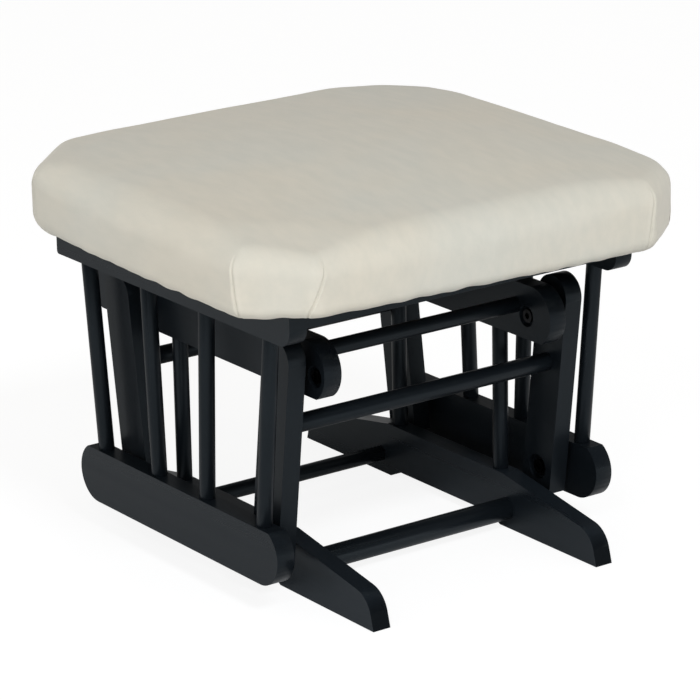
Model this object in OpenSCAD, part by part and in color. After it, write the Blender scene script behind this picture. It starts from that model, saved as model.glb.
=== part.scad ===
// Glider ottoman: a fixed base, four swing arms on sealed pivots and a padded seat that glides.
// Lengths are in mm. X runs across, +Y to the rear along the glide, Z up from the floor.
// The origin is on the floor, in the middle of the footprint.

/* [Boards] */
// thickness of the runners, rails and arms
board_t = 20; // [17:0.5:22]
// distance from the middle plane to the middle of a runner
base_x = 136.5; // [125:0.5:145]
// gap between a base rail and a swing arm
base_gap = 11.2; // [9:0.1:14]
// gap between a swing arm and a seat rail
seat_gap = 8; // [6:0.1:11]
// how far the frame sits behind the middle of the footprint
frame_y = 5.25; // [0:0.25:10]

/* [Runners] */
// length of a runner, toe to toe
runner_len = 499; // [470:1:530]
// height of a runner
runner_h = 57; // [52:0.5:62]
// clear height of the arch between the feet
arch_rise = 8; // [5:0.5:11]
// half length of the full arch
arch_half = 80; // [60:1:86]
// length of the slope from the arch down to a foot
arch_slope = 14; // [11:1:18]
// half length of the level top
runner_flat_half = 99; // [90:1:120]
// height of the toe where its slope ends
toe_h = 33; // [30:0.5:37]
// how far the blunt toe end leans forward
toe_lean = 9; // [5:0.5:13]
// radius of the toe's upper corner
toe_r = 28; // [14:0.5:32]

/* [Base rails and seat rails] */
// height of a base rail and of a lower seat rail
rail_h = 56.5; // [53:0.5:60]
// length of a rail, tip to tip
rail_len = 354.4; // [345:0.2:370]
// radius of the bowed rail ends
rail_r = 30.5; // [29:0.5:33]
// extra length at the rear end of a base rail
base_rail_more = 58; // [40:1:70]
// underside of the base rails
base_rail_z = 210; // [200:0.5:215]
// underside of the lower seat rails
seat_rail_z = 31.5; // [28:0.5:36]

/* [Top rails] */
// length of a top rail
top_rail_len = 414; // [400:1:430]
// height of a top rail
top_rail_h = 35.5; // [32:0.5:40]
// underside of the top rails
top_rail_z = 282.5; // [280:0.5:290]
// radius of the front lower corner
top_front_r = 17; // [10:0.5:22]
// radius of the rear lower corner
top_rear_r = 3.5; // [2:0.5:12]

/* [Swing arms] */
// width of a swing arm
arm_w = 44.6; // [40:0.2:46]
// upper pivot, distance from the middle along the glide
pivot_top_y = 139; // [136:0.5:142]
// upper pivot, height above the underside of the base rails
pivot_top_up = 24; // [21:0.5:27]
// lower pivot, distance from the middle along the glide
pivot_low_y = 116.8; // [113:0.2:120]
// lower pivot, height above the underside of the lower seat rails
pivot_low_up = 30.7; // [28.5:0.1:33]
// length of arm between the upper pivot and the centre of its round head
arm_head = 15.5; // [10:0.5:18]
// distance along the arm from the lower pivot to the arm bar
arm_bar_at = 117.2; // [105:0.2:125]

/* [Rods] */
// diameter of the base posts
post_d = 16; // [14:0.5:18]
// distance of a base post from the middle
post_y = 83.5; // [78:0.5:88]
// how much further from the middle the rear posts and the rear stretcher sit
rear_more = 6; // [0:0.5:9]
// diameter of the front stretcher
stretcher_front_d = 23; // [16:0.5:25]
// diameter of the rear stretcher
stretcher_rear_d = 16.4; // [15:0.2:20]
// distance of a stretcher from the middle
stretcher_y = 105.6; // [102:0.2:112]
// height of the stretchers
stretcher_z = 20.8; // [18:0.2:24]
// diameter of the bars between the base rails
upper_bar_d = 16; // [14:0.5:17]
// distance of an upper bar from the middle
upper_bar_y = 121.5; // [118:0.5:122]
// height of the upper bars above the underside of the base rails
upper_bar_up = 32.3; // [30:0.1:36]
// diameter of the bars between the swing arms
arm_bar_d = 18.6; // [16:0.2:20]
// diameter of the spindles
spindle_d = 16.2; // [14:0.2:18]
// outer spindles, distance from the middle at the top
spindle_out_top = 161.2; // [156:0.2:164]
// outer spindles, distance from the middle at the bottom
spindle_out_low = 142; // [138:0.2:146]
// inner spindles, distance from the middle at the top
spindle_in_top = 51.9; // [46:0.1:58]
// inner spindles, distance from the middle at the bottom
spindle_in_low = 43.2; // [38:0.2:48]
// diameter of the round tenons
tenon_d = 11; // [9:0.5:12]
// length of the round tenons
tenon_l = 12; // [10:0.5:14]

/* [Pivots] */
// diameter of the pivot bolts
bolt_d = 8; // [6:0.5:8]
// diameter of a bolt head
head_d = 14; // [12:0.5:15]
// thickness of a bolt head
head_t = 4.8; // [4:0.1:5]
// outer diameter of a bearing
bearing_d = 22; // [20:0.5:23]
// width of a bearing
bearing_w = 7; // [6:0.1:7.5]
// diameter of a spacer
spacer_d = 21; // [19:0.5:22]
// diameter of a spacer's neck
neck_d = 12; // [11:0.5:13]
// diameter of the recess round a lower bolt head
low_recess_d = 26; // [24:0.5:28]
// diameter of the recess round an upper bolt head
top_recess_d = 22; // [19:0.5:22.5]
// extra radius in the rear lower bearings
open_play = 1.5; // [1.3:0.1:1.6]
// distance of a rail end screw from the rail's tip
end_screw_in = 16.2; // [15:0.2:17]
// height of a rail end screw above the rail's underside
end_screw_up = 22.5; // [20:0.5:26]

/* [Seat] */
// width of the cushion
cushion_w = 516; // [500:1:530]
// length of the cushion along the glide
cushion_l = 492; // [478:1:505]
// how far the cushion sits ahead of the middle of the footprint
cushion_y = 8.75; // [0:0.25:12]
// height of the cushion's side, up to its crown
cushion_side = 78; // [70:1:90]
// extra height of the crown in the middle
cushion_crown = 20; // [12:1:28]
// length cut off at each corner of the cushion
cushion_cut = 56; // [40:1:68]
// radius in plan where the cut corners meet the sides
cushion_plan_r = 40; // [30:1:55]
// radius of the soft top edge
cushion_edge_r = 25; // [18:1:34]
// radius of the soft bottom edge
cushion_foot_r = 18; // [12:1:22]
// thickness of the seat board
seat_board_t = 12; // [9:0.5:18]
// height of the cross rails under the seat board
cross_h = 25; // [20:0.5:28]
// distance of a cross rail from the middle
cross_y = 180; // [178:0.5:188]

/* [Hidden] */
$fn = 64;
// running clearance on radius, clearance of a glued tenon and clearance between moving faces
run_fit = 0.05;
glue_fit = 0.03;
face_gap = 0.5;
race_gap = 0.2;
// overrun of a cut past a face
over = 1;

half_t = board_t / 2;
arm_x = base_x + board_t + base_gap;
seat_x = arm_x + board_t + seat_gap;
base_in = base_x - half_t;
base_out = base_x + half_t;
arm_in = arm_x - half_t;
arm_out = arm_x + half_t;
seat_in = seat_x - half_t;
seat_out = seat_x + half_t;
pivot_top_z = base_rail_z + pivot_top_up;
pivot_low_z = seat_rail_z + pivot_low_up;
upper_bar_z = base_rail_z + upper_bar_up;

// arms: lean from the vertical and length between the pivots
arm_dy = pivot_top_y - pivot_low_y;
arm_dz = pivot_top_z - pivot_low_z;
arm_l = norm([arm_dy, arm_dz]);
arm_lean = atan(arm_dy / arm_dz);
arm_bar_y = pivot_low_y + arm_bar_at * sin(arm_lean);
arm_bar_z = pivot_low_z + arm_bar_at * cos(arm_lean);

// rails
rail_c = rail_len / 2 - rail_r;
base_rail_top = base_rail_z + rail_h;
seat_rail_top = seat_rail_z + rail_h;
seat_z = top_rail_z + top_rail_h;
end_screw_y = rail_len / 2 - end_screw_in;
end_screw_z = base_rail_z + end_screw_up;

// bolts and bearings
bolt_bore_d = bolt_d + 2 * run_fit;
arc_shift_share = 0.001;
recess_share = 0.3;
low_recess_t = board_t * recess_share;
top_recess_t = board_t * recess_share;
socket_share = 0.5;
socket_deep_share = 0.5;
bolt_end_share = 0.7;
bolt_end = board_t * bolt_end_share;
hex_n = 6;
hex_turn = 360 / hex_n;
sleeve_hole_d = neck_d + 2 * (open_play + face_gap);
pocket_slack = 2;
top_pocket_t = bearing_w + pocket_slack;
tenon_hole_d = tenon_d + 2 * glue_fit;
bearing_seat_d = bearing_d + 2 * glue_fit;
nut_d_share = 1.6;
nut_d = bolt_d * nut_d_share;
nut_t_share = 0.7;
nut_t = bolt_d * nut_t_share;
nut_hole_d = nut_d + 2 * face_gap;
nut_hole_t = nut_t + 2 * face_gap;

top_head_x = base_in + top_recess_t - head_t;
top_bolt_end_x = arm_in + top_pocket_t + nut_hole_t - face_gap;
top_bearing_x = arm_in + top_pocket_t - bearing_w;
top_nut_x = arm_in + top_pocket_t + face_gap;
low_bearing_x = arm_in + low_recess_t;
low_head_x = low_bearing_x - race_gap - head_t;
low_bolt_end_x = seat_in + bolt_end - face_gap;

// spindles of one side, front to rear: distance from the middle at the top and at the bottom
spindle_tops = [-spindle_out_top, -spindle_in_top, spindle_in_top, spindle_out_top];
spindle_lows = [-spindle_out_low, -spindle_in_low, spindle_in_low, spindle_out_low];
spindle_n = len(spindle_tops);

// cushion
edge_z = seat_z + cushion_side;
board_left_share = 0.88;
board_w = cushion_w * board_left_share;
board_l = cushion_l * board_left_share;
plan_n = 8;
plan_turn = 360 / plan_n;
bend_n = 4;
edge_n = 6;
foot_n = 4;
pocket_gap = 0.3;
cross_tenon_share = 0.6;
crown_shares = [0.86, 0.72, 0.58, 0.44, 0.3, 0.15];
crown_power = 2.2;

// cushion levels, each [inset, height]: the rounded foot, the rounded top edge, then the crown
cushion_levels = concat(
  [for (k = [0 : foot_n]) let (t = 90 * k / foot_n)
    [cushion_foot_r * (1 - sin(t)), seat_z + cushion_foot_r * (1 - cos(t))]],
  [for (k = [0 : edge_n]) let (t = 90 * k / edge_n)
    [cushion_edge_r * (1 - cos(t)), edge_z - cushion_edge_r * (1 - sin(t))]],
  [for (q = crown_shares) [
    cushion_edge_r + (cushion_l / 2 - cushion_edge_r) * (1 - q),
    edge_z + cushion_crown * (1 - pow(q, crown_power))
  ]]
);

wood = [0.13, 0.14, 0.15];
steel = [0.62, 0.63, 0.65];
cream = [0.86, 0.84, 0.78];
ply = [0.72, 0.58, 0.4];

sides = [-1, 1];
ends = [-1, 1];

// a flat outline in the glide plane, made into a board centred on x
module board(x, t = board_t) {
  translate([x, frame_y, 0]) rotate([90, 0, 90]) linear_extrude(height = t, center = true) children();
}

// a round rod across the ottoman, from x0 to x1
module rod(x0, x1, y, z, d) {
  translate([min(x0, x1), y + frame_y, z]) rotate([0, 90, 0]) cylinder(h = abs(x1 - x0), d = d);
}

// a round rod in the glide plane, from a low point to a high one, each [y, z]
module slant(x, low, high, d) {
  run = high - low;
  lean = atan(run[0] / run[1]);
  translate([x, low[0] + frame_y, low[1]]) rotate([-lean, 0, 0]) cylinder(h = norm(run), d = d);
}

// a hexagonal bar across the ottoman
module hex_rod(x0, x1, y, z, r) {
  translate([min(x0, x1), y + frame_y, z]) rotate([90, 0, 90]) linear_extrude(height = abs(x1 - x0))
    polygon([for (k = [0 : hex_n - 1]) r * [cos(hex_turn * k), sin(hex_turn * k)]]);
}

function unit(v) = v / norm(v);
function half_angle(a, p, b) = acos(unit(a - p) * unit(b - p)) / 2;
function cut_back(a, p, b, r) = r / tan(half_angle(a, p, b));
function arc_mid(a, p, b, r) = p + unit(unit(a - p) + unit(b - p)) * r / sin(half_angle(a, p, b));

// one outer corner p of a flat outline, between its neighbours a and b, rounded to radius r
// the arc's centre sits a hair towards the corner, so that the arc crosses both edges cleanly
module round_corner(a, p, b, r) {
  t = cut_back(a, p, b, r);
  out = -unit(unit(a - p) + unit(b - p));
  difference() {
    children();
    difference() {
      polygon([p + unit(a - p) * t, p + out * r, p + unit(b - p) * t]);
      translate(arc_mid(a, p, b, r) + out * r * arc_shift_share) circle(r = r);
    }
  }
}

// a flat board outline with soft ends: level at the top edge, cornered at the bottom edge
// the rear end sits more further back
module rail_outline(h, more = 0) {
  intersection() {
    union() {
      translate([-rail_c, 0]) square([2 * rail_c + more, h]);
      translate([-rail_c, h - rail_r]) circle(r = rail_r);
      translate([rail_c + more, h - rail_r]) circle(r = rail_r);
    }
    translate([-rail_len / 2 - over, 0]) square([rail_len + more + 2 * over, h]);
  }
}

// distances of a post and of a stretcher from the middle, signed, at the end e
function post_at(e) = e * post_y + max(e, 0) * rear_more;
function stretcher_at(e) = e * stretcher_y + max(e, 0) * rear_more;

// a round hole for a post's tenon, from one height to another
module post_hole(side, e, z0, z1) {
  slant(side * base_x, [post_at(e), z0], [post_at(e), z1], tenon_hole_d);
}

// a round hole for a bar's tenon, in the inner face of a board
module tenon_hole(side, face_x, y, z) {
  rod(side * (face_x - over), side * (face_x + tenon_l), y, z, tenon_hole_d);
}

// corners of a runner's outline, from the top round the toe to the arch, at the end e
function runner_corners(e) = [
  [e * runner_flat_half, runner_h],
  [e * (runner_len / 2 - toe_lean), toe_h],
  [e * runner_len / 2, 0],
  [e * (arch_half + arch_slope), 0],
  [e * arch_half, arch_rise]
];

function turned(list) = [for (i = [len(list) - 1 : -1 : 0]) list[i]];

module runner_outline() {
  f = runner_corners(-1);
  r = runner_corners(1);
  round_corner(f[0], f[1], f[2], toe_r) round_corner(r[0], r[1], r[2], toe_r)
    polygon(concat(r, turned(f)));
}

module runner(side) {
  color(wood) difference() {
    board(side * base_x) runner_outline();
    for (e = ends) {
      post_hole(side, e, runner_h - tenon_l, runner_h + over);
      tenon_hole(side, base_in, stretcher_at(e), stretcher_z);
    }
  }
}

module post(side, e) {
  reach = tenon_l - face_gap;
  color(wood) {
    slant(side * base_x, [post_at(e), runner_h], [post_at(e), base_rail_z], post_d);
    slant(side * base_x, [post_at(e), runner_h - reach], [post_at(e), base_rail_z + reach], tenon_d);
  }
}

// a round hole on an upper pivot's axis, from a board's inner face at x0 to x1
module pivot_hole(side, x0, x1, e, d) {
  rod(side * (x0 - over), side * x1, e * pivot_top_y, pivot_top_z, d);
}

// a round hole for a rail end screw, from the rail's outer face to x1
module screw_hole(side, x1, e, d) {
  rod(side * (base_out + over), side * x1, e * end_screw_y, end_screw_z, d);
}

module base_rail(side) {
  color(wood) difference() {
    board(side * base_x) translate([0, base_rail_z]) rail_outline(rail_h, base_rail_more);
    for (e = ends) {
      post_hole(side, e, base_rail_z - over, base_rail_z + tenon_l);
      tenon_hole(side, base_in, e * upper_bar_y, upper_bar_z);
      pivot_hole(side, base_in, base_out + over, e, bolt_bore_d);
      pivot_hole(side, base_in, base_in + top_recess_t, e, top_recess_d);
      screw_hole(side, base_out - top_recess_t, e, top_recess_d);
      screw_hole(side, base_out - bolt_end, e, bolt_bore_d);
    }
  }
}

// a bar between two facing boards whose inner faces are at x = +-reach
module cross_bar(reach, y, z, d) {
  color(wood) {
    rod(-reach, reach, y, z, d);
    rod(-reach - tenon_l + face_gap, reach + tenon_l - face_gap, y, z, tenon_d);
  }
}

module stretcher(e, d) {
  cross_bar(base_in, stretcher_at(e), stretcher_z, d);
}

module upper_bar(e) {
  cross_bar(base_in, e * upper_bar_y, upper_bar_z, upper_bar_d);
}

module arm_bar(e) {
  cross_bar(arm_in, e * arm_bar_y, arm_bar_z, arm_bar_d);
}

// a hexagon-socket bolt: its head's outer face at x0, its shank running to x1
module bolt(x0, x1, y, z) {
  dir = sign(x1 - x0);
  color(steel) difference() {
    union() {
      rod(x0, x0 + dir * head_t, y, z, head_d);
      rod(x0 + dir * head_t / 2, x1, y, z, bolt_d);
    }
    hex_rod(x0 - dir * over, x0 + dir * head_t * socket_deep_share, y, z, head_d / 2 * socket_share);
  }
}

module top_pivot_bolts() {
  for (s = sides, e = ends) bolt(s * top_head_x, s * top_bolt_end_x, e * pivot_top_y, pivot_top_z);
}

// a spacer with its flange from x0 to x1 and its neck on to x2
module spacer(x0, x1, x2, y, z) {
  color(steel) difference() {
    union() {
      rod(x0, x1, y, z, spacer_d);
      rod(x0, x2, y, z, neck_d);
    }
    rod(x0 - sign(x2 - x0) * over, x2 + sign(x2 - x0) * over, y, z, bolt_bore_d);
  }
}

module top_pivot_spacers() {
  flange_x = arm_in - face_gap;
  neck_x = top_bearing_x - race_gap;
  for (s = sides, e = ends) spacer(s * base_out, s * flange_x, s * neck_x, e * pivot_top_y, pivot_top_z);
}

module top_pivot_nuts() {
  color(steel) for (s = sides, e = ends) difference() {
    hex_rod(s * top_nut_x, s * (top_nut_x + nut_t), e * pivot_top_y, pivot_top_z, nut_d / 2);
    rod(s * (top_nut_x - over), s * (top_nut_x + nut_t + over), e * pivot_top_y, pivot_top_z, bolt_d);
  }
}

module rail_end_screws() {
  head_x = base_out - top_recess_t + head_t;
  tip_x = base_out - bolt_end + face_gap;
  for (s = sides, e = ends) bolt(s * head_x, s * tip_x, e * end_screw_y, end_screw_z);
}

// swing arms: e is -1 for the front pair and 1 for the rear pair
module arm_outline() {
  translate([-arm_w / 2, -arm_w / 2]) square([arm_w, arm_w / 2 + arm_l + arm_head]);
  translate([0, arm_l + arm_head]) circle(d = arm_w);
}

// a round hole on a lower pivot's axis, from a board's inner face at x0 to x1
module low_pivot_hole(side, x0, x1, e, d) {
  rod(side * (x0 - over), side * x1, e * pivot_low_y, pivot_low_z, d);
}

module arm(side, e) {
  color(wood) difference() {
    board(side * arm_x) translate([e * pivot_low_y, pivot_low_z]) rotate(-e * arm_lean) arm_outline();
    low_pivot_hole(side, arm_in, low_bearing_x, e, low_recess_d);
    low_pivot_hole(side, arm_in, low_bearing_x + bearing_w, e, bearing_seat_d);
    low_pivot_hole(side, arm_in, arm_out + over, e, sleeve_hole_d);
    pivot_hole(side, arm_in, arm_in + top_pocket_t, e, bearing_seat_d);
    pivot_hole(side, arm_in, arm_in + top_pocket_t + nut_hole_t, e, nut_hole_d);
    tenon_hole(side, arm_in, e * arm_bar_y, arm_bar_z);
  }
}

module bearing(side, x, y, z, bore) {
  color(steel) difference() {
    rod(side * x, side * (x + bearing_w), y, z, bearing_d);
    rod(side * (x - over), side * (x + bearing_w + over), y, z, bore);
  }
}

module bearings(e, low_bore) {
  for (s = sides) {
    bearing(s, top_bearing_x, e * pivot_top_y, pivot_top_z, bolt_bore_d);
    bearing(s, low_bearing_x, e * pivot_low_y, pivot_low_z, low_bore);
  }
}

// a rod along the line of spindle k, lengthened past both shoulders by extra
module spindle_line(side, k, extra, d) {
  low = [spindle_lows[k], seat_rail_top];
  high = [spindle_tops[k], top_rail_z];
  along = unit(high - low) * extra;
  slant(side * seat_x, low - along, high + along, d);
}

module spindle(side, k) {
  color(wood) union() {
    intersection() {
      spindle_line(side, k, tenon_l, spindle_d);
      translate([side * seat_x - board_t, frame_y - top_rail_len, seat_rail_top])
        cube([2 * board_t, 2 * top_rail_len, top_rail_z - seat_rail_top]);
    }
    spindle_line(side, k, tenon_l - face_gap, tenon_d);
  }
}

module seat_rail(side) {
  color(wood) difference() {
    board(side * seat_x) translate([0, seat_rail_top]) mirror([0, 1]) rail_outline(rail_h);
    for (k = [0 : spindle_n - 1]) spindle_line(side, k, tenon_l, tenon_hole_d);
    for (e = ends) low_pivot_hole(side, seat_in, seat_in + bolt_end, e, bolt_d);
  }
}

module low_pivot_bolts() {
  for (s = sides, e = ends) bolt(s * low_head_x, s * low_bolt_end_x, e * pivot_low_y, pivot_low_z);
}

module low_pivot_spacers() {
  flange_x = arm_out + face_gap;
  neck_x = low_bearing_x + bearing_w + race_gap;
  for (s = sides, e = ends) spacer(s * seat_in, s * flange_x, s * neck_x, e * pivot_low_y, pivot_low_z);
}

module top_rail_outline() {
  l = top_rail_len / 2;
  front = [-l, top_rail_z];
  rear = [l, top_rail_z];
  round_corner([-l, seat_z], front, rear, top_front_r) round_corner(front, rear, [l, seat_z], top_rear_r)
    polygon([front, rear, [l, seat_z], [-l, seat_z]]);
}

// the end of a cross rail, grown by fit on every side
module cross_tenon(side, e, fit) {
  w = board_t * cross_tenon_share + 2 * fit;
  h = cross_h * cross_tenon_share + 2 * fit;
  translate([side * (seat_in + (tenon_l - over) / 2), frame_y + e * cross_y, seat_z - cross_h / 2])
    cube([tenon_l + over, w, h], center = true);
}

module top_rail(side) {
  color(wood) difference() {
    board(side * seat_x) top_rail_outline();
    for (k = [0 : spindle_n - 1]) spindle_line(side, k, tenon_l, tenon_hole_d);
    for (e = ends) cross_tenon(side, e, glue_fit);
  }
}

module seat_cross(e) {
  color(wood) {
    translate([-seat_in, frame_y + e * cross_y - half_t, seat_z - cross_h])
      cube([2 * seat_in, board_t, cross_h]);
    for (s = sides) translate([-s * face_gap, 0, 0]) cross_tenon(s, e, 0);
  }
}

// one level of the cushion: a plan with cut corners, each bend an arc of radius r
function plan_ring(w, l, cut, r) =
  let (x = w / 2 - r, y = l / 2 - r, c = max(cut - r * (2 - sqrt(2)), over))
  let (mid = [
    [x, y - c], [x - c, y], [c - x, y], [-x, y - c], [-x, c - y], [c - x, -y], [x - c, -y], [x, c - y]
  ])
  [for (i = [0 : plan_n - 1]) for (k = [0 : bend_n]) let (a = plan_turn * (i + k / bend_n))
    mid[i] + r * [cos(a), sin(a)]];

// corner points of a plan with cut corners, from its half sizes
function plan_points(w, l, c) = [
  [w, l - c], [w - c, l], [c - w, l], [-w, l - c], [-w, c - l], [c - w, -l], [w - c, -l], [w, c - l]
];

module seat_board() {
  color(ply) translate([0, -cushion_y, seat_z]) linear_extrude(height = seat_board_t)
    polygon(plan_points(board_w / 2, board_l / 2, cushion_cut));
}

// share of the plan that is left at a level with this inset
function left_share(inset) = 1 - 2 * inset / cushion_l;

// radius in plan of a level's bends, which grows towards a circle as the crown rises
function bend_r(keep) = keep * (cushion_plan_r * keep + cushion_l / 2 * (1 - keep));

function level_ring(v) =
  let (keep = left_share(v[0]))
  plan_ring(cushion_w - 2 * v[0], cushion_l - 2 * v[0], cushion_cut * keep, bend_r(keep));

module cushion_form() {
  levels = len(cushion_levels);
  n = plan_n * (bend_n + 1);
  foot = [for (k = [0 : n - 1]) k];
  top = [for (k = [n - 1 : -1 : 0]) (levels - 1) * n + k];
  points = [for (v = cushion_levels) for (p = level_ring(v)) [p[0], p[1], v[1]]];
  walls = [
    for (i = [0 : levels - 2]) for (k = [0 : n - 1])
      let (a = i * n + k, b = i * n + (k + 1) % n)
      each [[a, a + n, b + n], [a, b + n, b]]
  ];
  polyhedron(points, concat([foot], walls, [top]));
}

module cushion() {
  color(cream) translate([0, -cushion_y, 0]) difference() {
    cushion_form();
    translate([0, 0, seat_z - over]) linear_extrude(height = seat_board_t + pocket_gap + over)
      polygon(plan_points(board_w / 2 + pocket_gap, board_l / 2 + pocket_gap, cushion_cut));
  }
}

runner(-1);  // runner_left
runner(1);  // runner_right
post(-1, -1);  // post_left_front
post(-1, 1);  // post_left_rear
post(1, -1);  // post_right_front
post(1, 1);  // post_right_rear
base_rail(-1);  // base_rail_left
base_rail(1);  // base_rail_right
stretcher(-1, stretcher_front_d);  // stretcher_front
stretcher(1, stretcher_rear_d);  // stretcher_rear
upper_bar(-1);  // upper_bar_front
upper_bar(1);  // upper_bar_rear
top_pivot_bolts();
top_pivot_spacers();
top_pivot_nuts();
rail_end_screws();
arm(-1, -1);  // arm_front_left
arm(1, -1);  // arm_front_right
arm_bar(-1);  // arm_bar_front
bearings(-1, bolt_bore_d);  // bearings_front
arm(-1, 1);  // arm_rear_left
arm(1, 1);  // arm_rear_right
arm_bar(1);  // arm_bar_rear
bearings(1, bolt_d + 2 * open_play);  // bearings_rear
seat_rail(-1);  // seat_rail_left
seat_rail(1);  // seat_rail_right
low_pivot_bolts();
low_pivot_spacers();
spindle(-1, 0);  // spindle_left_1
spindle(-1, 1);  // spindle_left_2
spindle(-1, 2);  // spindle_left_3
spindle(-1, 3);  // spindle_left_4
spindle(1, 0);  // spindle_right_1
spindle(1, 1);  // spindle_right_2
spindle(1, 2);  // spindle_right_3
spindle(1, 3);  // spindle_right_4
top_rail(-1);  // top_rail_left
top_rail(1);  // top_rail_right
seat_cross(-1);  // seat_cross_front
seat_cross(1);  // seat_cross_rear
seat_board();
cushion();
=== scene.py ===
import math

import bmesh
import bpy
import numpy as np
from mathutils import Matrix, Vector, noise


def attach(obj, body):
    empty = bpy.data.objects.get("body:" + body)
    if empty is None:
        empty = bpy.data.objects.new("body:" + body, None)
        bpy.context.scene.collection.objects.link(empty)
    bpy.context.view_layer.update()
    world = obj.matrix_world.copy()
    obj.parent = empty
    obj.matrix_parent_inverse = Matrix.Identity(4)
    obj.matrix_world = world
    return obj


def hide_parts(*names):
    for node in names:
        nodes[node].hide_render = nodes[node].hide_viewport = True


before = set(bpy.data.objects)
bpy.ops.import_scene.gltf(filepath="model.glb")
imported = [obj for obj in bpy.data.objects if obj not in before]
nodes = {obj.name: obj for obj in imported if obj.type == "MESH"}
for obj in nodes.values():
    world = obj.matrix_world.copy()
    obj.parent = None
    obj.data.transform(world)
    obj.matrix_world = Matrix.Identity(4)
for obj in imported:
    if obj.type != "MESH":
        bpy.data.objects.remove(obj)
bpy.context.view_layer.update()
print("frame loaded:", len(nodes), "solids")

mm = 0.001
white = (1.0, 1.0, 1.0)


# Shader helpers
def emptyTree(owner, outputKind):
    # the node tree of a material or a world, with nothing in it but its output's surface socket
    owner.use_nodes = True
    tree = owner.node_tree
    tree.nodes.clear()
    return tree, tree.nodes.new(outputKind).inputs["Surface"]


def plug(tree, node, sockets):
    # each socket, by name or index, gets a value of its own or the link to another node's output
    for key, value in sockets.items():
        if isinstance(value, bpy.types.NodeSocket):
            tree.links.new(value, node.inputs[key])
        else:
            node.inputs[key].default_value = value


def addNode(tree, kind, sockets=None, **settings):
    made = tree.nodes.new(kind)
    for key, value in settings.items():
        setattr(made, key, value)
    plug(tree, made, sockets or {})
    return made


def newMaterial(name):
    mat = bpy.data.materials.new(name)
    tree, surface = emptyTree(mat, "ShaderNodeOutputMaterial")
    shader = addNode(tree, "ShaderNodeBsdfPrincipled")
    tree.links.new(shader.outputs[0], surface)
    return mat, tree, shader


def stretchedCoords(tree, scale):
    # object coordinates are the frame's own, in metres, since every solid sits at the origin
    place = addNode(tree, "ShaderNodeTexCoord").outputs["Object"]
    return addNode(tree, "ShaderNodeMapping", {"Vector": place, "Scale": scale}).outputs[0]


def noiseOf(tree, scale, detail, roughness=0.5, distortion=0.0):
    # grey noise, with its cells per metre along x, y and z
    sockets = {"Vector": stretchedCoords(tree, scale), "Scale": 1, "Detail": detail}
    sockets |= {"Roughness": roughness, "Distortion": distortion}
    return addNode(tree, "ShaderNodeTexNoise", sockets).outputs["Fac"]


def colourRamp(tree, factor, places, colours):
    ramp = addNode(tree, "ShaderNodeValToRGB", {0: factor})
    for element, place, colour in zip(ramp.color_ramp.elements, places, colours):
        element.position = place
        element.color = (*colour, 1)
    return ramp.outputs["Color"]


def mathsOf(tree, operation, *values):
    return addNode(tree, "ShaderNodeMath", dict(enumerate(values)), operation=operation).outputs[0]


def inRange(tree, value, start, end, fromStart=0.0, fromEnd=1.0):
    sockets = {"Value": value, "From Min": fromStart, "From Max": fromEnd, "To Min": start, "To Max": end}
    return addNode(tree, "ShaderNodeMapRange", sockets).outputs[0]


def blendOf(tree, share, first, second):
    return addNode(tree, "ShaderNodeMix", {0: share, 2: first, 3: second}, data_type="FLOAT").outputs[0]


def timesColour(tree, first, second):
    sockets = {0: 1.0, 6: first, 7: second}
    return addNode(tree, "ShaderNodeMix", sockets, data_type="RGBA", blend_type="MULTIPLY").outputs[2]


def bumpOf(tree, height, strength, depth, under=None):
    sockets = {"Height": height, "Strength": strength, "Distance": depth}
    if under:
        sockets["Normal"] = under
    return addNode(tree, "ShaderNodeBump", sockets).outputs[0]


# Painted wood
paint = {
    "dark": (0.0052, 0.0070, 0.0090),
    "light": (0.0070, 0.0094, 0.0120),
    "tonePlaces": (0.08, 0.46),
    "sheen": (0.77, 0.91, 1.0),  # tint of what the paint mirrors
    "varnish": 0.5,  # specular level of a clear varnish
    "grainAcross": 420,  # grain lines per metre across the board
    "grainAlong": 9,
    "grainDetail": 5,
    "grainRoughness": 0.62,
    "grainBump": 0.06,
    "grainDepth": 0.4 * mm,
    "broadShare": 0.12,  # broad shades along the same grain, as a share of its lines
    "broadDetail": 3,
    "roughPlaces": (0.3, 0.7),
    "roughness": (0.26, 0.38),
    "specks": 1800,  # specks per metre
    "speckDetail": 2,
    "speckBump": 0.05,
    "speckDepth": 0.2 * mm,
    "endFrom": 0.6,  # from here on a surface counts as turned along the grain
    "endTo": 0.95,
    "ease": 0.7 * mm,  # radius of the sanded edges
}
paintedPieces = {
    # pieces by the start of their names, axis of the grain (0 x, 1 y, 2 z), gloss (1 mirrors like a clear
    # varnish), shade of the colour, and how much of colour and gloss the end grain keeps; the one black
    # paint gets its gloss and shade piece by piece as painted light and shade, for how brightly each piece
    # is lit
    "paintedRunner": (("runner",), 1, 0.62, 1.5, 0.35),
    "paintedInnerRail": (("base_rail",), 1, 0.50, 1.0, 0.90),
    "paintedRail": (("seat_rail", "top_rail"), 1, 0.56, 1.0, 0.90),
    "paintedArm": (("arm_front", "arm_rear"), 2, 0.53, 0.9, 0.35),
    "paintedUprightRod": (("post", "spindle"), 2, 0.55, 0.88, 0.35),
    "paintedStretcher": (("stretcher",), 0, 1.1, 0.88, 0.35),
    "paintedCrossRod": (("upper_bar", "arm_bar", "seat_cross"), 0, 0.55, 0.88, 0.35),
}


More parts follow.
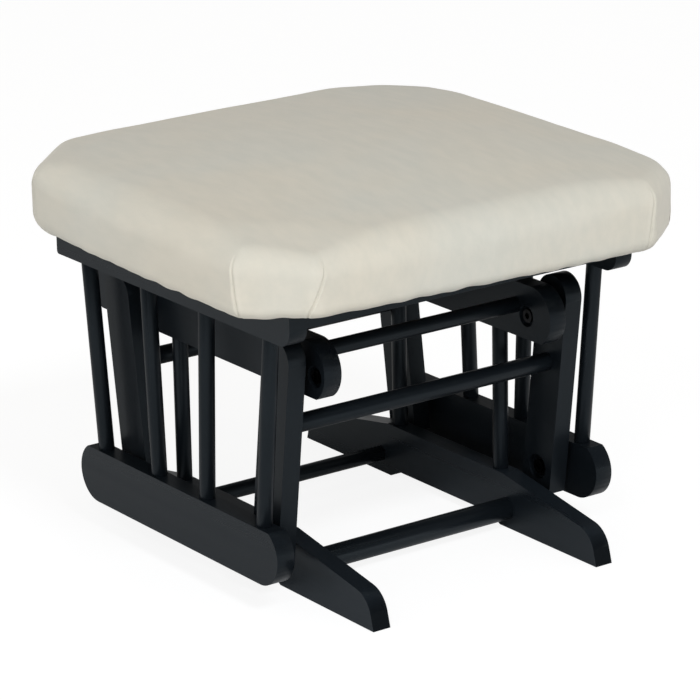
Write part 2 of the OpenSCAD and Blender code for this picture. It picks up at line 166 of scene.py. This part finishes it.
def paintedWood(name, along, gloss, shade, endGrain):
    # satin black paint over a board or rod whose grain runs along one axis, with a gloss and a shade set
    # for
    # how brightly the piece is lit: painted light and shade
    mat, tree, shader = newMaterial(name)
    scale = [paint["grainAcross"]] * 3
    scale[along] = paint["grainAlong"]
    broadScale = [s * paint["broadShare"] for s in scale]
    grain = noiseOf(tree, scale, paint["grainDetail"], paint["grainRoughness"])
    broad = noiseOf(tree, broadScale, paint["broadDetail"])
    speck = noiseOf(tree, [paint["specks"]] * 3, paint["speckDetail"])
    # painted light and shade: the piece's shade scales both colours, for how brightly the piece is lit
    tones = [tuple(c * shade for c in paint[k]) for k in ("dark", "light")]
    colour = colourRamp(tree, mathsOf(tree, "MULTIPLY", grain, broad), paint["tonePlaces"], tones)
    # end grain soaks up the paint, so it is darker and duller
    normal = addNode(tree, "ShaderNodeTexCoord").outputs["Normal"]
    facing = addNode(tree, "ShaderNodeSeparateXYZ", {0: normal}).outputs[along]
    turned = mathsOf(tree, "ABSOLUTE", facing)
    soaked = inRange(tree, turned, 1.0, endGrain, paint["endFrom"], paint["endTo"])
    grey = addNode(tree, "ShaderNodeCombineXYZ", {0: soaked, 1: soaked, 2: soaked}).outputs[0]
    fine = bumpOf(tree, speck, paint["speckBump"], paint["speckDepth"])
    plug(tree, shader, {
        "Base Color": timesColour(tree, colour, grey),
        "Roughness": inRange(tree, broad, *paint["roughness"], *paint["roughPlaces"]),
        "Specular IOR Level": mathsOf(tree, "MULTIPLY", soaked, paint["varnish"] * gloss),
        "Specular Tint": (*paint["sheen"], 1),
        "Normal": bumpOf(tree, grain, paint["grainBump"], paint["grainDepth"], fine),
    })
    return mat


# Plywood seat board
board = {
    "dark": (0.022, 0.016, 0.011),
    "light": (0.056, 0.041, 0.028),
    "tonePlaces": (0.25, 0.75),
    "grain": (14, 260, 14),  # grain lines per metre
    "grainDetail": 6,
    "grainRoughness": 0.6,
    "layers": 130,
    "layerWaver": 0.4,
    "layerShare": 0.35,
    "roughness": 0.62,
    "bump": 0.2,
    "depth": 0.3 * mm,
    "ease": 0.6 * mm,
}


def plywood(name):
    mat, tree, shader = newMaterial(name)
    grain = noiseOf(tree, board["grain"], board["grainDetail"], board["grainRoughness"])
    place = stretchedCoords(tree, (1, 1, 1))
    sockets = {"Vector": place, "Scale": board["layers"], "Distortion": board["layerWaver"]}
    layers = addNode(tree, "ShaderNodeTexWave", sockets, bands_direction="Z").outputs["Fac"]
    both = blendOf(tree, board["layerShare"], grain, layers)
    plug(tree, shader, {
        "Base Color": colourRamp(tree, both, board["tonePlaces"], (board["dark"], board["light"])),
        "Roughness": board["roughness"],
        "Normal": bumpOf(tree, grain, board["bump"], board["depth"]),
    })
    return mat


# Steel bolts, nuts, screws, spacers and bearings
steel = {
    "bolt": (0.022, 0.022, 0.024),
    "boltRoughness": 0.34,
    "ring": (0.16, 0.16, 0.165),
    "ringRoughness": 0.30,
    "turning": (2600, 500, 500),  # marks of the lathe per metre
    "blotches": 160,  # per metre
    "detail": 3,
    "tonePlaces": (0.3, 0.7),
    "spread": 0.3,  # blotches are darker by this share, and the roughness wanders by it
    "bump": 0.08,
    "depth": 0.1 * mm,
    "ease": 0.35 * mm,
}


def darkSteel(name, base, roughness):
    mat, tree, shader = newMaterial(name)
    turned = noiseOf(tree, steel["turning"], steel["detail"])
    blotch = noiseOf(tree, [steel["blotches"]] * 3, steel["detail"])
    low, high = 1 - steel["spread"], 1 + steel["spread"]
    plug(tree, shader, {
        "Base Color": colourRamp(tree, blotch, steel["tonePlaces"], (tuple(c * low for c in base), base)),
        "Metallic": 1,
        "Roughness": inRange(tree, turned, roughness * low, roughness * high),
        "Normal": bumpOf(tree, turned, steel["bump"], steel["depth"]),
    })
    return mat


# Cushion fabric
fabric = {
    "warm": (0.646, 0.606, 0.510),
    "cool": (0.606, 0.596, 0.526),
    "tonePlaces": (0.34, 0.66),
    "patches": 7,  # nap patches per metre
    "patchDetail": 2,
    "patchRoughness": 0.4,
    "patchWaver": 0.6,
    "streaks": (90, 26, 60),  # brushed streaks per metre
    "streakDetail": 3,
    "streakRoughness": 0.55,
    "streakShare": 0.3,
    "streak": (0.966, 0.964, 0.955),  # the least light that a brushed streak sends back
    "streakPlaces": (0.35, 0.65),
    "streakBump": 0.10,
    "streakDepth": 1.2 * mm,
    "pile": 2600,  # pile noise per metre
    "pileDetail": 3,
    "pileRoughness": 0.7,
    "pileShade": (0.93, 0.93, 0.93),
    "pilePlaces": (0.25, 0.75),
    "pileBump": 0.16,
    "pileDepth": 0.25 * mm,
    "roughness": 0.92,
    "specular": 0.12,
    "sheen": 0.36,
    "sheenRoughness": 0.45,
    "sheenTint": (1.0, 0.97, 0.92),
}


def napFabric(name):
    # short brushed pile: soft patches where the nap lies differently, and a very fine pile
    mat, tree, shader = newMaterial(name)
    patchScale = [fabric["patches"]] * 3
    patch = noiseOf(tree, patchScale, fabric["patchDetail"], fabric["patchRoughness"], fabric["patchWaver"])
    brush = noiseOf(tree, fabric["streaks"], fabric["streakDetail"], fabric["streakRoughness"])
    pile = noiseOf(tree, [fabric["pile"]] * 3, fabric["pileDetail"], fabric["pileRoughness"])
    mixed = blendOf(tree, fabric["streakShare"], patch, brush)
    tone = colourRamp(tree, mixed, fabric["tonePlaces"], (fabric["cool"], fabric["warm"]))
    shade = colourRamp(tree, pile, fabric["pilePlaces"], (fabric["pileShade"], white))
    streak = colourRamp(tree, brush, fabric["streakPlaces"], (fabric["streak"], white))
    soft = bumpOf(tree, brush, fabric["streakBump"], fabric["streakDepth"])
    plug(tree, shader, {
        "Base Color": timesColour(tree, timesColour(tree, tone, shade), streak),
        "Roughness": fabric["roughness"],
        "Specular IOR Level": fabric["specular"],
        "Sheen Weight": fabric["sheen"],
        "Sheen Roughness": fabric["sheenRoughness"],
        "Sheen Tint": (*fabric["sheenTint"], 1),
        "Normal": bumpOf(tree, pile, fabric["pileBump"], fabric["pileDepth"], soft),
    })
    return mat


# The wood and steel solids
edges = {
    "weld": 0.01 * mm,
    "segments": 2,
    "leastBend": math.radians(35),  # edges that bend less than this stay as they are
}


def easeEdges(obj, width):
    # sanded edges catch the light; the solid itself stays as it is
    weld = obj.modifiers.new("weld", "WELD")
    weld.merge_threshold = edges["weld"]
    bevel = obj.modifiers.new("ease", "BEVEL")
    bevel.width = width
    bevel.segments = edges["segments"]
    bevel.limit_method = "ANGLE"
    bevel.angle_limit = edges["leastBend"]
    bevel.harden_normals = True
    bevel.use_clamp_overlap = True


def dress(obj, mat):
    obj.data.materials.clear()
    obj.data.materials.append(mat)


def finishPieces(starts, mat, ease):
    for name, obj in nodes.items():
        if name.startswith(starts):
            dress(obj, mat)
            easeEdges(obj, ease)


def dressFrame():
    for name, (starts, *look) in paintedPieces.items():
        finishPieces(starts, paintedWood(name, *look), paint["ease"])
    finishPieces("seat_board", plywood("plywood"), board["ease"])
    bolts = darkSteel("boltSteel", steel["bolt"], steel["boltRoughness"])
    rings = darkSteel("ringSteel", steel["ring"], steel["ringRoughness"])
    boltPieces = ("top_pivot_bolts", "top_pivot_nuts", "low_pivot_bolts", "rail_end_screws")
    finishPieces(boltPieces, bolts, steel["ease"])
    finishPieces(("top_pivot_spacers", "low_pivot_spacers", "bearings"), rings, steel["ease"])


dressFrame()
print("frame dressed")

# Cushion, in millimetres
cushion = {
    "halfWidth": 258.5,
    "front": -254.8,
    "rear": 237.5,
    # legs cut off each corner, across and along: front left, front right, rear right, rear left
    "cuts": [(48, 68), (66, 50), (46, 57), (70, 66)],
    # radius of the eight bends of the outline, from the front left corner's left one
    "bends": [15, 18, 12, 54, 36, 36, 36, 36],
    "bendSteps": 24,
    "bendRoom": 0.48,  # a bend takes at most this share of a side
    "outlineStep": 1.0,
    "tangentReach": 2,
    "softTurn": 11,  # half width of the averaging that keeps the rolls soft
    "softReach": 3,  # where the averaging ends, in half widths
    "cornerFrom": 1.35,  # a corner begins where the shares of half width and half length add up to this
    "cornerOver": 0.45,  # and is full this much further out
    "bottom": 318.0,
    # how much higher the lower edge lies in places
    "frontLeftLift": 7.0,
    "frontRightLift": -4.0,
    "sideLift": 2.4,
    "sideRearLift": 9.0,
    "rearLift": 7.0,
    "rearCornerLift": -3.5,
    "endsFrom": 0.75,  # share of the half length where the front and the rear end begin
    "footRadius": 11,
    "rearFootExtra": 11,  # the cover tucks under more gently at the rear corners
    "frontRightFootExtra": 5,
    "footReach": 1 / 3,  # share of the way from the middle to the side over which it comes in
    "hemWave": 1.5,  # how much the lower edge wanders up and down
    "hemWaveLength": 20,
    "hemPattern": 4.0,
    "top": 394.8,
    "rearRise": 4.0,  # the top rises by this much from the middle to the rear
    "rightRise": 0.8,
    "edgeRadius": 32,
    "cornerEdgeRadius": 21,  # the roll is tighter over the cut corners
    "crown": 20,
    "crownPower": 1.15,
    "crownFrom": 0.6,  # share of the side's height where the crown begins to lift it
    # how much lower the roll lies over the corners
    "cornerDrop": 4.3,
    "frontLeftDrop": 4.5,
    "rearRightDrop": 4.0,
    "frontRightDrop": 2.4,
    "dropReach": 0.5,  # share of the way from the middle to the side over which it comes in
    "sideSwell": 1.6,
    "uneven": [(9, (3, 1, 7), 0.7), (34, (11, 5, 2), 0.18)],  # foam: noise per metre, pattern, height
    "unevenFrom": 335,
    "boardTop": 330.6,
    "boardUnder": 317.9,
    "cloth": 1.0,
    "clothGap": 0.1,
    # rows of the mesh
    "footSteps": 8,
    "wallSteps": 15,
    "rollSteps": 12,
    "topRings": 44,
    "topRingPower": 1.05,
    # columns of the mesh
    "dartColumns": (0.7, 0.8, 1.0, 1.3, 1.8, 2.4, 3.2, 4.2),
    "outerColumns": 14,
    "sideColumns": 92,
}
dart = {
    # each side in the way round the cushion: the axis that it runs along, and its two darts, each with its
    # place at the top and at the bottom
    "sides": [
        (0, (-198, -217), (192, 182)),
        (1, (-201, -208), (172, 182)),
        (0, (204, 214), (-186, -200)),
        (1, (168, 178), (-185, -191)),
    ],
    "top": 0.92,  # share of the side's height
    "fade": 0.12,
    "bend": 1.6,  # how much of a dart's slant lies low down
    "depth": 1.3,
    "width": 0.9,
    "lip": 0.5,
    "lipPlace": 2.6,
    "lipWidth": 1.8,
    "dimple": 0.8,
    "dimpleHeight": 0.07,
    "dimpleWidth": 6,
}
cushionMiddle = (cushion["front"] + cushion["rear"]) / 2
cushionHalfLength = (cushion["rear"] - cushion["front"]) / 2


def smooth(x):
    x = np.clip(x, 0, 1)
    return x * x * (3 - 2 * x)


def bell(distance, width):
    return np.exp(-((distance / width) ** 2))


def unit(vector):
    return vector / np.linalg.norm(vector)


def bendArc(corner, before, after, radius):
    # the arc that rounds one corner of the outline
    steps = cushion["bendSteps"]
    toBefore, toAfter = unit(before - corner), unit(after - corner)
    half = math.acos(float(np.clip(toBefore @ toAfter, -1, 1))) / 2
    shorter = min(np.linalg.norm(before - corner), np.linalg.norm(after - corner))
    radius = min(radius, cushion["bendRoom"] * shorter * math.tan(half))
    centre = corner + unit(toBefore + toAfter) * radius / math.sin(half)
    start = corner + toBefore * radius / math.tan(half) - centre
    end = corner + toAfter * radius / math.tan(half) - centre
    first = math.atan2(start[1], start[0])
    turn = (math.atan2(end[1], end[0]) - first + math.pi) % (2 * math.pi) - math.pi
    angles = [first + turn * i / steps for i in range(steps + 1)]
    return [centre + radius * np.array([math.cos(a), math.sin(a)]) for a in angles]


def planCurve():
    # the cushion's outline in plan, anticlockwise from the middle of the front left corner
    w, f, r = cushion["halfWidth"], cushion["front"], cushion["rear"]
    (ax, ay), (bx, by), (cx, cy), (dx, dy) = cushion["cuts"]
    corners = [
        (-w, f + ay), (-w + ax, f), (w - bx, f), (w, f + by),
        (w, r - cy), (w - cx, r), (-w + dx, r), (-w, r - dy),
    ]
    corners = [np.array(p, float) for p in corners]
    around = zip(corners, corners[-1:] + corners[:-1], corners[1:] + corners[:1], cushion["bends"])
    arcs = [bendArc(*bend) for bend in around]
    middle = (arcs[0][-1] + arcs[1][0]) / 2
    points = np.array([middle] + sum(arcs[1:], []) + arcs[0] + [middle])
    length = np.r_[0, np.cumsum(np.linalg.norm(np.diff(points, axis=0), axis=1))]
    stations = np.arange(0, length[-1], cushion["outlineStep"])
    curve = np.c_[np.interp(stations, length, points[:, 0]), np.interp(stations, length, points[:, 1])]
    return curve, stations, length[-1]


def outwardNormals(curve):
    # averaged over a stretch of the outline, so that the rolls stay soft round the sewn bends
    step, width = cushion["tangentReach"], cushion["softTurn"]
    tangent = np.roll(curve, -step, 0) - np.roll(curve, step, 0)
    normal = np.c_[tangent[:, 1], -tangent[:, 0]]
    normal /= np.linalg.norm(normal, axis=1)[:, None]
    reach = cushion["softReach"] * width
    soft = sum(math.exp(-((k / width) ** 2) / 2) * np.roll(normal, k, 0) for k in range(-reach, reach + 1))
    return soft / np.linalg.norm(soft, axis=1)[:, None]


outline, stations, outlineLength = planCurve()
outlineNormals = outwardNormals(outline)


def planShares(xy):
    # a place in plan as shares of the half width and the half length
    return xy[:, 0] / cushion["halfWidth"], (xy[:, 1] - cushionMiddle) / cushionHalfLength


def cornerMiddle(toRight, toRear):
    # station of the outline's point furthest out along a diagonal
    x, y = planShares(outline)
    return float(stations[np.argmax(x * toRight + y * toRear)])


middles = [0.0, cornerMiddle(1, -1), cornerMiddle(1, 1), cornerMiddle(-1, 1), outlineLength]


def stationAt(side, value):
    # station on a side where the outline's x or y reaches a value
    keep = (stations >= middles[side]) & (stations <= middles[side + 1])
    along = outline[keep][:, dart["sides"][side][0]]
    return float(stations[keep][np.argmin(np.abs(along - value))])


def sideStations(start, first, second, end):
    # stations of one side's columns, from a corner's middle past two darts to the next one's
    graded = np.cumsum([0, *cushion["dartColumns"]])
    reach = graded[-1]
    n = len(graded) - 1
    outer = np.linspace(start, first - reach, cushion["outerColumns"] - n + 1)[:-1]
    middle = np.linspace(first + reach, second - reach, cushion["sideColumns"] - 2 * n + 1)[1:-1]
    last = np.linspace(second + reach, end, cushion["outerColumns"] - n + 1)[1:]
    around = [first - graded[::-1], first + graded[1:], middle, second - graded[::-1], second + graded[1:]]
    return np.concatenate([outer, *around, last])[:-1]


def rowStations(height):
    # stations of a row's columns and darts; height is 0 at the foot and 1 at the top of the side
    parts, dartStations = [], []
    low = (1 - height) ** dart["bend"]
    for side, (axis, *darts) in enumerate(dart["sides"]):
        places = [stationAt(side, bottom) * low + stationAt(side, top) * (1 - low) for top, bottom in darts]
        parts.append(sideStations(middles[side], *places, middles[side + 1]))
        dartStations += places
    return np.concatenate(parts), dartStations


def onOutline(station):
    # point and outward normal at a station
    station = np.mod(station, outlineLength)
    closed = np.r_[stations, outlineLength]
    both = np.c_[outline, outlineNormals]
    found = [np.interp(station, closed, np.r_[both[:, i], both[0, i]]) for i in range(4)]
    return np.stack(found[:2], 1), np.stack(found[2:], 1)


def cornerness(xy):
    # 0 along the sides, 1 at the corners
    x, y = planShares(xy)
    return smooth((np.abs(x) + np.abs(y) - cushion["cornerFrom"]) / cushion["cornerOver"])


def topAt(xy):
    # height of the rolled edge's top, before the crown
    x, y = planShares(xy)
    right, left, rear, front = (smooth(s / cushion["dropReach"]) for s in (x, -x, y, -y))
    drop = cushion["cornerDrop"] + cushion["rearRightDrop"] * right * rear
    drop += cushion["frontLeftDrop"] * left * front + cushion["frontRightDrop"] * right * front
    level = cushion["top"] + cushion["rearRise"] * y + cushion["rightRise"] * np.clip(x, 0, 1)
    return level - drop * cornerness(xy)


def footAt(xy):
    x, y = planShares(xy)
    right, rear, front = (smooth(s / cushion["footReach"]) for s in (x, y, -y))
    extra = cushion["rearFootExtra"] * rear + cushion["frontRightFootExtra"] * front * right
    return cushion["footRadius"] + extra * cornerness(xy)


def rollAt(xy):
    return cushion["edgeRadius"] + (cushion["cornerEdgeRadius"] - cushion["edgeRadius"]) * cornerness(xy)


def crownAt(xy):
    x, y = planShares(xy)
    return cushion["crown"] * np.clip((1 - x ** 2) * (1 - y ** 2), 0, 1) ** cushion["crownPower"]


def hemAt(xy):
    # small waves along the hem, where the cover is drawn under the board
    waves = [Vector((*(p / cushion["hemWaveLength"]), cushion["hemPattern"])) for p in xy]
    return np.array([cushion["hemWave"] * noise.noise(place) for place in waves])


def bottomAt(xy):
    x, y = planShares(xy)
    ends = cushion["endsFrom"]
    front, rear = (smooth((s - ends) / (1 - ends)) for s in (-y, y))
    side = (1 - front) * (1 - rear)
    lift = front * (cushion["frontLeftLift"] * (1 - x) / 2 + cushion["frontRightLift"] * (1 + x) / 2)
    lift += side * (cushion["sideLift"] * (1 - np.abs(y)) + cushion["sideRearLift"] * np.clip(y, 0, 1))
    lift += rear * cushion["rearLift"]
    lift += cushion["rearCornerLift"] * cornerness(xy) * smooth(y / cushion["footReach"])
    return cushion["bottom"] + lift + hemAt(xy)


def dartPush(gap, height):
    # each dart is a narrow valley with soft lips that dies out at a small dimple in the roll
    fade = smooth((dart["top"] - height) / dart["fade"])
    valley = dart["depth"] * fade * bell(gap, dart["width"])
    lips = dart["lip"] * fade * bell(gap - dart["lipPlace"], dart["lipWidth"])
    dimple = bell(height - dart["top"], dart["dimpleHeight"]) * bell(gap, dart["dimpleWidth"])
    return lips - valley - dart["dimple"] * dimple


def sideRows():
    # each row's part of the side, with its inset and its height as shares of that part's own
    quarter = math.pi / 2
    foot = [quarter * k / cushion["footSteps"] for k in range(cushion["footSteps"] + 1)]
    wall = [k / cushion["wallSteps"] for k in range(1, cushion["wallSteps"])]
    roll = [quarter * k / cushion["rollSteps"] for k in range(cushion["rollSteps"] + 1)]
    rows = [("foot", 1 - math.sin(a), 1 - math.cos(a)) for a in foot]
    rows += [("wall", 0, h) for h in wall]
    rows += [("roll", 1 - math.cos(a), math.sin(a)) for a in roll]
    return rows


def levelOf(part, h, bottom, top, foot, roll):
    # height of a row, h being its share of the part
    low = {"foot": bottom, "wall": bottom + foot, "roll": top - roll}[part]
    high = {"foot": bottom + foot, "wall": top - roll, "roll": top}[part]
    return low + (high - low) * h


def sideRing(part, inset, h):
    tall = cushion["top"] - cushion["bottom"]
    share = levelOf(part, h, 0, tall, cushion["footRadius"], cushion["edgeRadius"]) / tall
    columns, darts = rowStations(share)
    xy, out = onOutline(columns)
    foot, roll = footAt(xy), rollAt(xy)
    radius = foot if part == "foot" else roll
    p = xy - out * (inset * radius)[:, None]
    bottom, top = bottomAt(xy), topAt(p)
    z = levelOf(part, h, bottom, top, foot, roll)
    height = np.clip((z - bottom) / (top - bottom), 0, 1)
    half = outlineLength / 2
    gap = np.min([np.abs((columns - d + half) % outlineLength - half) for d in darts], axis=0)
    swell = cushion["sideSwell"] * 4 * height * (1 - height) * (1 - cornerness(xy))
    p = p + out * (swell + dartPush(gap, height))[:, None]
    if part != "foot":
        z = z + crownAt(p) * smooth((height - cushion["crownFrom"]) / (1 - cushion["crownFrom"]))
    return np.c_[p, z]


def shrunk(ring, share):
    # a ring's places in plan, drawn in towards the middle
    centre = np.array([0.0, cushionMiddle])
    return centre + (ring[:, :2] - centre) * share


def topRings(edge):
    # the top closes in towards the middle, ring by ring, down to one point
    places = np.linspace(0, 1, cushion["topRings"] + 2)[1:]
    inner = [shrunk(edge, share) for share in 1 - places ** cushion["topRingPower"]]
    return [np.c_[xy, topAt(xy) + crownAt(xy)] for xy in inner]


def underRings(foot):
    # underneath, the cover wraps round the board's edge, ends in a hem on its underside and closes above it
    under, over = cushion["boardUnder"], cushion["boardTop"]
    cloth, gap = cushion["cloth"], cushion["clothGap"]
    rows = [
        # share of the outline, share that is kept of the foot's height, height of the rest
        (0.965, 0.5, under - cloth),
        (0.92, 0, under - cloth),
        (0.86, 0, under - cloth + gap),
        (0.855, 0, under - gap),
        (0.915, 0, under + gap),
        (0.915, 0, over),
        (0.8, 0, over + 2 * gap),
        (0, 0, over + 2 * gap),
    ]
    return [np.c_[shrunk(foot, share), z + (foot[:, 2] - z) * kept] for share, kept, z in rows]


def coverMesh(name):
    # rings of points from the middle underneath out to the foot, up the side and over the top
    side = [sideRing(*row) for row in sideRows()]
    hub, *under = underRings(side[0])[::-1]
    *top, summit = topRings(side[-1])
    rings = under + side + top
    n = len(side[0])
    points = [tuple(p * mm) for p in np.concatenate([*rings, hub[:1], summit[:1]])]
    hubPoint, summitPoint = n * len(rings), n * len(rings) + 1
    last = hubPoint - n
    faces = []
    for k in range(n):
        after = (k + 1) % n
        faces.append((hubPoint, after, k))
        faces += [(i + k, i + after, i + n + after, i + n + k) for i in range(0, last, n)]
        faces.append((last + k, last + after, summitPoint))
    mesh = bpy.data.meshes.new(name)
    mesh.from_pydata(points, [], faces)
    for poly in mesh.polygons:
        poly.use_smooth = True
    return mesh


def unevenFoam(mesh):
    # faint unevenness of foam under tight cloth
    bm = bmesh.new()
    bm.from_mesh(mesh)
    bm.normal_update()
    uneven = cushion["uneven"]
    for v in bm.verts:
        if v.co.z > cushion["unevenFrom"] * mm:
            waves = [noise.noise(v.co * scale + Vector(pattern)) * rise for scale, pattern, rise in uneven]
            v.co += v.normal * sum(waves) * mm
    bm.to_mesh(mesh)
    bm.free()


def buildCushion():
    mesh = coverMesh("cushionCover")
    unevenFoam(mesh)
    obj = bpy.data.objects.new("cushionCover", mesh)
    bpy.context.scene.collection.objects.link(obj)
    dress(obj, napFabric("creamNap"))
    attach(obj, "seat")
    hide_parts("cushion")
    return obj


cover = buildCushion()
print("cushion built:", len(cover.data.vertices), "points")

# Camera, with its place in millimetres and its angles in degrees
camera = {
    "place": (-2001.1, -2828.15, 1305.6),
    "azimuth": -35.359,
    "elevation": 17.839,
    "roll": -1.099,
    "focalPixels": 3610.4,
    "imagePixels": 700,
    "sensor": 36,
    "nearest": 0.05,
    "furthest": 60,
}


def setCamera():
    data = bpy.data.cameras.new("camera")
    obj = bpy.data.objects.new("camera", data)
    bpy.context.scene.collection.objects.link(obj)
    data.sensor_width = camera["sensor"]
    data.lens = camera["sensor"] * camera["focalPixels"] / camera["imagePixels"]
    data.clip_start = camera["nearest"]
    data.clip_end = camera["furthest"]
    az, el, roll = (math.radians(camera[k]) for k in ("azimuth", "elevation", "roll"))
    back = Vector((math.sin(az) * math.cos(el), -math.cos(az) * math.cos(el), math.sin(el)))
    level = Vector((0, 0, 1)).cross(back).normalized()
    upright = back.cross(level)
    right = math.cos(roll) * level + math.sin(roll) * upright
    up = -math.sin(roll) * level + math.cos(roll) * upright
    turn = Matrix((right, up, back)).transposed()
    obj.matrix_world = Matrix.Translation(Vector(camera["place"]) * mm) @ turn.to_4x4()
    bpy.context.scene.camera = obj


# Studio
studio = {
    "ambient": 0.40,
    "ambientColour": (1.01, 0.975, 0.925),
    "ceilingShare": 0.10,  # share of the white that mirrored rays find overhead
    "ceilingFrom": -0.02,  # height of a mirrored ray where the white begins to fall
    "ceilingTo": 0.16,
    "floorColour": (0.68, 0.68, 0.68),
    "floorSpeckle": 0.985,
    "specklePlaces": (0.3, 0.7),
    "speckles": 240,  # over the whole floor
    "speckleDetail": 2,
    "floorReach": 9,
    "floorDrop": 0.5 * mm,  # the floor lies this much under the runners
    "floorGlow": 1.20,
    "floorShare": 0.73,  # share of the glow that the camera sees; the rest is the lit floor with its shadow
    "floorMirrorShare": 0.03,  # the same in mirrored rays
    "boxColour": (0.955, 0.985, 1.035),
    "boxAim": (0, 0, 0.3),
    # each box: power, the way it stands from its aim, its distance and its size
    "boxes": [
        (266, (-0.125, -0.708, 0.695), 8.0, (1.6, 1.3)),
        (30, (-0.579, -0.579, 0.574), 5.0, (0.9, 0.7)),
        (15, (-0.990, 0.0, 0.139), 2.7, (1.5, 1.2)),
        (10, (-0.700, -0.700, 0.139), 2.7, (1.5, 1.2)),
        (9, (0.400, -0.905, 0.139), 2.7, (1.5, 1.2)),
    ],
}


def mirroredRay(tree):
    # 1 for a ray that a surface mirrors or lets through
    path = addNode(tree, "ShaderNodeLightPath")
    return mathsOf(tree, "MAXIMUM", path.outputs["Is Glossy Ray"], path.outputs["Is Transmission Ray"])


def seenShare(tree, direct, mirrored):
    # how much of the plain white a camera ray gets, and a mirrored ray
    path = addNode(tree, "ShaderNodeLightPath")
    seen = mathsOf(tree, "MULTIPLY", path.outputs["Is Camera Ray"], direct)
    return mathsOf(tree, "MAXIMUM", seen, mathsOf(tree, "MULTIPLY", mirroredRay(tree), mirrored))


def setWorld():
    world = bpy.data.worlds.new("studio")
    bpy.context.scene.world = world
    tree, surface = emptyTree(world, "ShaderNodeOutputWorld")
    # no ambient light in mirrored rays
    ambient = mathsOf(tree, "MULTIPLY_ADD", mirroredRay(tree), -studio["ambient"], studio["ambient"])
    ambientLook = {"Color": (*studio["ambientColour"], 1), "Strength": ambient}
    light = addNode(tree, "ShaderNodeBackground", ambientLook)
    shown = addNode(tree, "ShaderNodeBackground", {"Color": (*white, 1), "Strength": 1.0})
    way = addNode(tree, "ShaderNodeTexCoord").outputs["Generated"]
    height = addNode(tree, "ShaderNodeSeparateXYZ", {0: way}).outputs[2]
    ceiling = inRange(tree, height, 1.0, studio["ceilingShare"], studio["ceilingFrom"], studio["ceilingTo"])
    sockets = {0: seenShare(tree, 1, ceiling), 1: light.outputs[0], 2: shown.outputs[0]}
    tree.links.new(addNode(tree, "ShaderNodeMixShader", sockets).outputs[0], surface)


def paleFloor(name):
    mat = bpy.data.materials.new(name)
    tree, surface = emptyTree(mat, "ShaderNodeOutputMaterial")
    sockets = {"Scale": studio["speckles"], "Detail": studio["speckleDetail"]}
    speckle = addNode(tree, "ShaderNodeTexNoise", sockets).outputs["Fac"]
    tones = (tuple(c * studio["floorSpeckle"] for c in studio["floorColour"]), studio["floorColour"])
    colour = colourRamp(tree, speckle, studio["specklePlaces"], tones)
    matt = addNode(tree, "ShaderNodeBsdfDiffuse", {"Color": colour})
    glow = addNode(tree, "ShaderNodeEmission", {"Strength": studio["floorGlow"]})
    share = seenShare(tree, studio["floorShare"], studio["floorMirrorShare"])
    sockets = {0: share, 1: matt.outputs[0], 2: glow.outputs[0]}
    tree.links.new(addNode(tree, "ShaderNodeMixShader", sockets).outputs[0], surface)
    return mat


def layFloor():
    reach = studio["floorReach"]
    mesh = bpy.data.meshes.new("floor")
    corners = [(-reach, -reach, 0), (reach, -reach, 0), (reach, reach, 0), (-reach, reach, 0)]
    mesh.from_pydata(corners, [], [(0, 1, 2, 3)])
    floor = bpy.data.objects.new("floor", mesh)
    bpy.context.scene.collection.objects.link(floor)
    floor.location.z = -studio["floorDrop"]
    dress(floor, paleFloor("paleFloor"))


def hangBoxes():
    for power, way, distance, size in studio["boxes"]:
        data = bpy.data.lights.new("softbox", "AREA")
        data.shape = "RECTANGLE"
        data.size, data.size_y = size
        data.energy = power
        data.color = studio["boxColour"]
        box = bpy.data.objects.new("softbox", data)
        bpy.context.scene.collection.objects.link(box)
        way = Vector(way).normalized()
        box.location = Vector(studio["boxAim"]) + way * distance
        box.rotation_euler = way.to_track_quat("Z", "Y").to_euler()
        # the boxes leave no bright spots on the rounded ends and stay out of turned views
        box.visible_glossy = False
        box.visible_camera = False


setCamera()
setWorld()
layFloor()
hangBoxes()
bpy.context.scene.view_settings.view_transform = "Standard"
print("camera and studio set")
